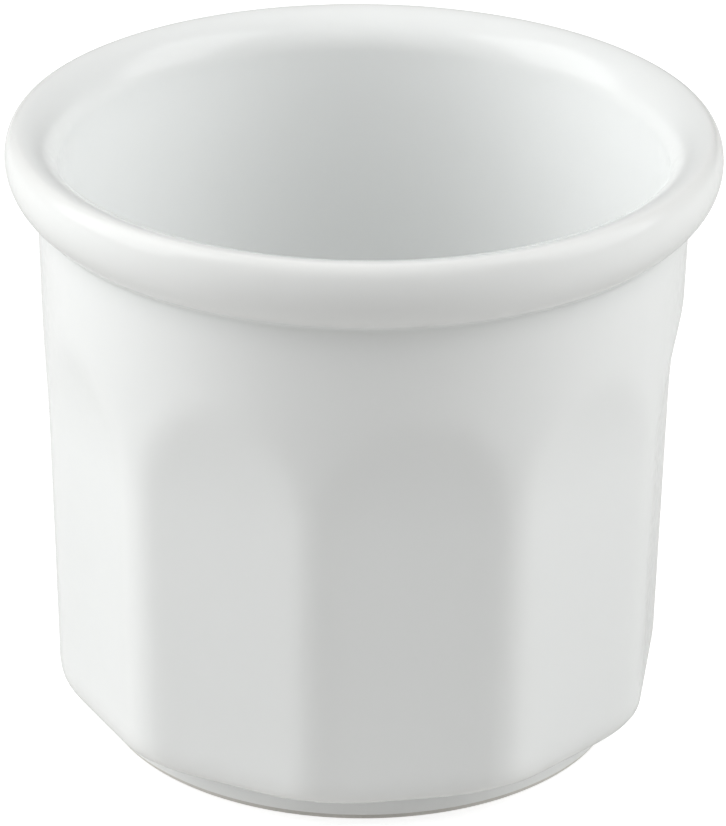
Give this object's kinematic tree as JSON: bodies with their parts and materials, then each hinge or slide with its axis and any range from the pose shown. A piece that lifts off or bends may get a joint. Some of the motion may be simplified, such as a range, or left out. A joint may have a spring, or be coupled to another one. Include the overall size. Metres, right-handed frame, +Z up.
{
  "type": "pen holder cup",
  "caption": "Faceted white glazed porcelain cup with a thick rolled rim and a low foot ring, for holding pens and pencils.",
  "frame": {"origin": "middle of the foot ring's bearing face, on the cup's axis", "axes": "+Z up along the cup's axis, one facet square to -Y (the front), two ridges on the X axis"},
  "size_m": [0.088, 0.088, 0.0786],
  "materials": {
    "bare_porcelain": "matte, unglazed, ground flat",
    "white_glaze": "glossy clear-white glaze",
    "base_white_glaze": "glossy clear-white glaze, slightly thinner"
  },
  "bodies": {
    "root": {"porcelain_body": "bare_porcelain", "glaze_coat": "white_glaze", "base_glaze": "base_white_glaze"}
  },
  "joints": []
}
